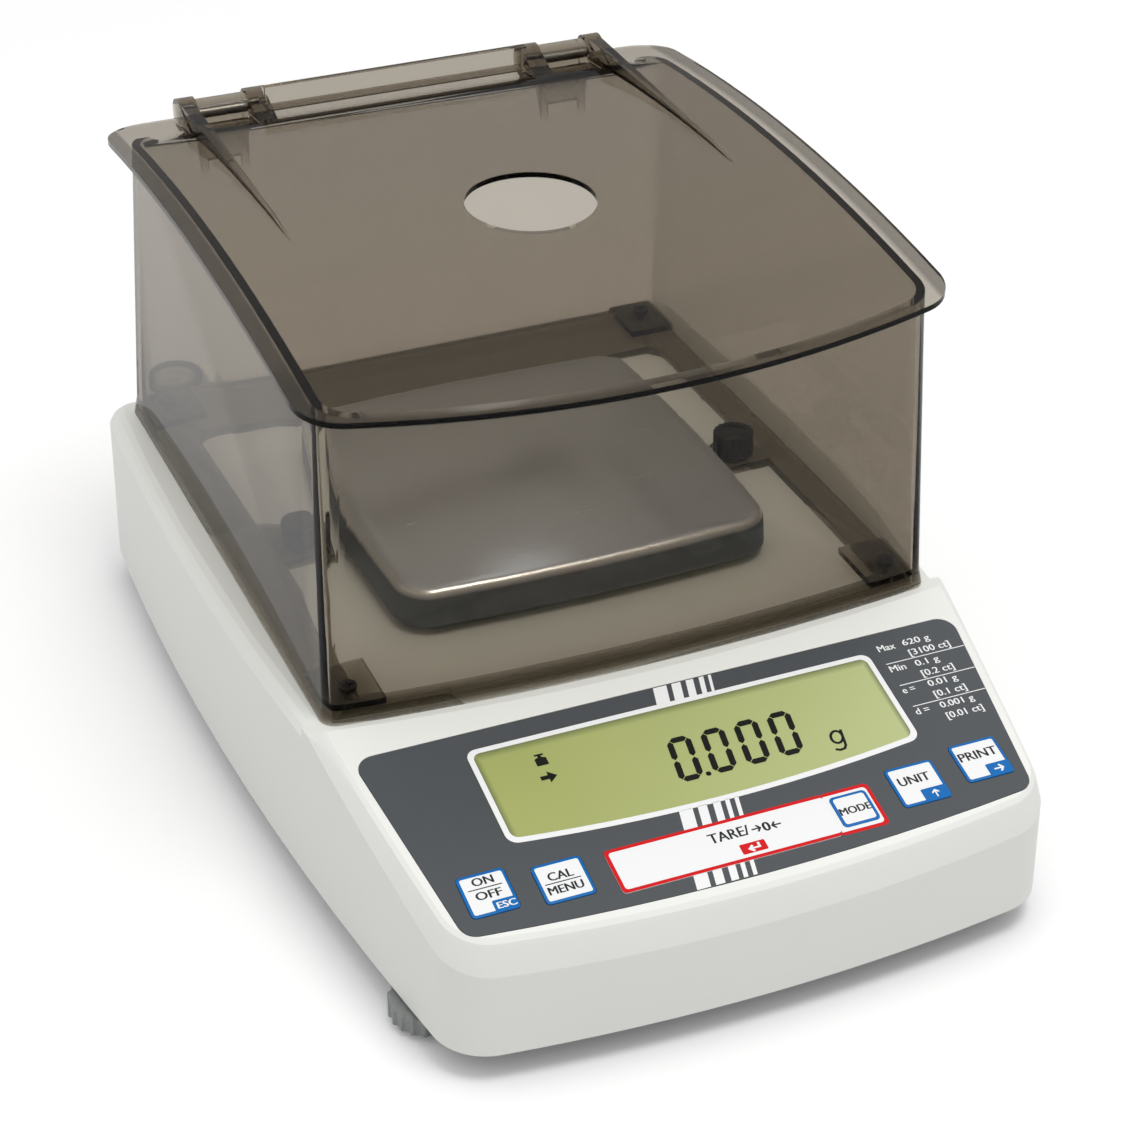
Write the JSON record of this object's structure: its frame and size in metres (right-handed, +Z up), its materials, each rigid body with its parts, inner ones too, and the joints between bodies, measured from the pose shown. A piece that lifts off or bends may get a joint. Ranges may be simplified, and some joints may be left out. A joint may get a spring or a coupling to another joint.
{
  "type": "precision balance",
  "caption": "Precision balance with a square pan under a smoked draught shield with a hinged arched lid, a sloping keypad panel with display, and levelling feet.",
  "frame": {"origin": "middle of the width and depth at table level", "axes": "+X to the right seen from the front, +Y to the rear, +Z up; the control panel faces -Y"},
  "size_m": [0.209, 0.31, 0.1686],
  "materials": {
    "housing": "off-white moulded ABS, fine satin texture",
    "tray": "dark grey moulded ABS",
    "keypad_film": "dark grey printed polyester film",
    "switch_sheet": "clear polyester with printed contacts",
    "display_window": "clear acrylic pane",
    "lcd": "green-grey liquid crystal panel",
    "circuit_board": "green solder mask",
    "key_white": "embossed white printed polyester",
    "key_blue": "embossed blue printed polyester",
    "socket_black": "black moulded plastic",
    "socket_metal": "plated steel shell",
    "aluminium": "machined aluminium",
    "cast_grey": "die-cast aluminium",
    "rubber_black": "soft black rubber",
    "pan_steel": "fine-brushed stainless steel",
    "smoked_plastic": "smoke-brown clear acrylic, polished",
    "screw_black": "blackened steel",
    "knob_black": "black knurled knob on a steel shank",
    "steel_pin": "drawn steel",
    "level_glass": "clear vial with tinted liquid",
    "brass": "knurled brass insert",
    "foot_grey": "grey knurled nylon"
  },
  "bodies": {
    "base": {"top_cover": "housing", "base_tray": "tray", "key_film": "keypad_film", "switch_sheet": "switch_sheet", "display_window": "display_window", "lcd_display": "lcd", "display_board": "circuit_board", "main_board": "circuit_board", "power_jack": "socket_black", "serial_port": "socket_metal", "load_cell": "aluminium", "cell_bracket": "cast_grey", "pan_support": "aluminium", "pan_cushion_fl": "rubber_black", "pan_cushion_fr": "rubber_black", "pan_cushion_rl": "rubber_black", "pan_cushion_rr": "rubber_black", "shield_box": "smoked_plastic", "shield_frame": "smoked_plastic", "frame_screw_fl": "screw_black", "frame_screw_fr": "screw_black", "frame_screw_rl": "screw_black", "frame_screw_rr": "screw_black", "level_cup": "socket_black", "level_vial": "level_glass", "foot_insert_fl": "brass", "foot_insert_fr": "brass", "foot_insert_rl": "brass", "foot_insert_rr": "brass", "base_screw_fl": "steel_pin", "base_screw_fr": "steel_pin", "base_screw_rl": "steel_pin", "base_screw_rr": "steel_pin"},
    "lid": {"shield_lid": "smoked_plastic", "hinge_pin_left": "steel_pin", "hinge_pin_right": "steel_pin"},
    "pan": {"weighing_pan": "pan_steel"},
    "key_power": {"power_key": "key_white"},
    "key_menu": {"menu_key": "key_white"},
    "key_tare": {"tare_key": "key_white"},
    "key_mode": {"mode_key": "key_blue"},
    "key_unit": {"unit_key": "key_white"},
    "key_print": {"print_key": "key_white"},
    "knob_left": {"thumb_screw_left": "knob_black"},
    "knob_right": {"thumb_screw_right": "knob_black"},
    "tip_fl": {"foot_pad_fl": "rubber_black"},
    "tip_fr": {"foot_pad_fr": "rubber_black"},
    "tip_rl": {"foot_pad_rl": "rubber_black"},
    "tip_rr": {"foot_pad_rr": "rubber_black"},
    "wheel_fl": {"foot_wheel_fl": "foot_grey"},
    "wheel_fr": {"foot_wheel_fr": "foot_grey"},
    "wheel_rl": {"foot_wheel_rl": "foot_grey"},
    "wheel_rr": {"foot_wheel_rr": "foot_grey"}
  },
  "joints": [
    {"name": "lid_hinge", "type": "hinge", "parent": "base", "child": "lid", "pos_m": [0, 0.1305, 0.162], "axis": [-1, 0, 0], "range_deg": [0, 95]},
    {"name": "pan_lift", "type": "slide", "parent": "base", "child": "pan", "axis": [0, 0, 1], "range_m": [0, 0.06]},
    {"name": "power_press", "type": "slide", "parent": "base", "child": "key_power", "axis": [0, 0.2429, -0.97], "range_m": [0, 0.0003], "stiffness_N_per_m": 900},
    {"name": "menu_press", "type": "slide", "parent": "base", "child": "key_menu", "axis": [0, 0.2429, -0.97], "range_m": [0, 0.0003], "stiffness_N_per_m": 900},
    {"name": "tare_press", "type": "slide", "parent": "base", "child": "key_tare", "axis": [0, 0.2429, -0.97], "range_m": [0, 0.0003], "stiffness_N_per_m": 900},
    {"name": "mode_press", "type": "slide", "parent": "base", "child": "key_mode", "axis": [0, 0.2429, -0.97], "range_m": [0, 0.0003], "stiffness_N_per_m": 900},
    {"name": "unit_press", "type": "slide", "parent": "base", "child": "key_unit", "axis": [0, 0.2429, -0.97], "range_m": [0, 0.0003], "stiffness_N_per_m": 900},
    {"name": "print_press", "type": "slide", "parent": "base", "child": "key_print", "axis": [0, 0.2429, -0.97], "range_m": [0, 0.0003], "stiffness_N_per_m": 900},
    {"name": "knob_left_turn", "type": "hinge", "parent": "base", "child": "knob_left", "pos_m": [-0.0725, 0.0245, 0.06], "axis": [0, 0, 1], "range_deg": [0, 1080]},
    {"name": "knob_right_turn", "type": "hinge", "parent": "base", "child": "knob_right", "pos_m": [0.0725, 0.0245, 0.06], "axis": [0, 0, 1], "range_deg": [0, 1080]},
    {"name": "foot_fl_drop", "type": "slide", "parent": "base", "child": "tip_fl", "axis": [0, 0, -1], "range_m": [0, 0.005]},
    {"name": "foot_fr_drop", "type": "slide", "parent": "base", "child": "tip_fr", "axis": [0, 0, -1], "range_m": [0, 0.005]},
    {"name": "foot_rl_drop", "type": "slide", "parent": "base", "child": "tip_rl", "axis": [0, 0, -1], "range_m": [0, 0.005]},
    {"name": "foot_rr_drop", "type": "slide", "parent": "base", "child": "tip_rr", "axis": [0, 0, -1], "range_m": [0, 0.005]},
    {"name": "foot_fl_spin", "type": "hinge", "parent": "tip_fl", "child": "wheel_fl", "pos_m": [-0.0845, -0.118, 0.005], "axis": [0, 0, 1], "range_deg": [0, 1800]},
    {"name": "foot_fr_spin", "type": "hinge", "parent": "tip_fr", "child": "wheel_fr", "pos_m": [0.0845, -0.118, 0.005], "axis": [0, 0, 1], "range_deg": [0, 1800]},
    {"name": "foot_rl_spin", "type": "hinge", "parent": "tip_rl", "child": "wheel_rl", "pos_m": [-0.088, 0.108, 0.005], "axis": [0, 0, 1], "range_deg": [0, 1800]},
    {"name": "foot_rr_spin", "type": "hinge", "parent": "tip_rr", "child": "wheel_rr", "pos_m": [0.088, 0.108, 0.005], "axis": [0, 0, 1], "range_deg": [0, 1800]}
  ],
  "couplings": [
    {"joint": "foot_fl_drop", "follows": "foot_fl_spin", "m_per_rad": 0.000159},
    {"joint": "foot_fr_drop", "follows": "foot_fr_spin", "m_per_rad": 0.000159},
    {"joint": "foot_rl_drop", "follows": "foot_rl_spin", "m_per_rad": 0.000159},
    {"joint": "foot_rr_drop", "follows": "foot_rr_spin", "m_per_rad": 0.000159}
  ]
}
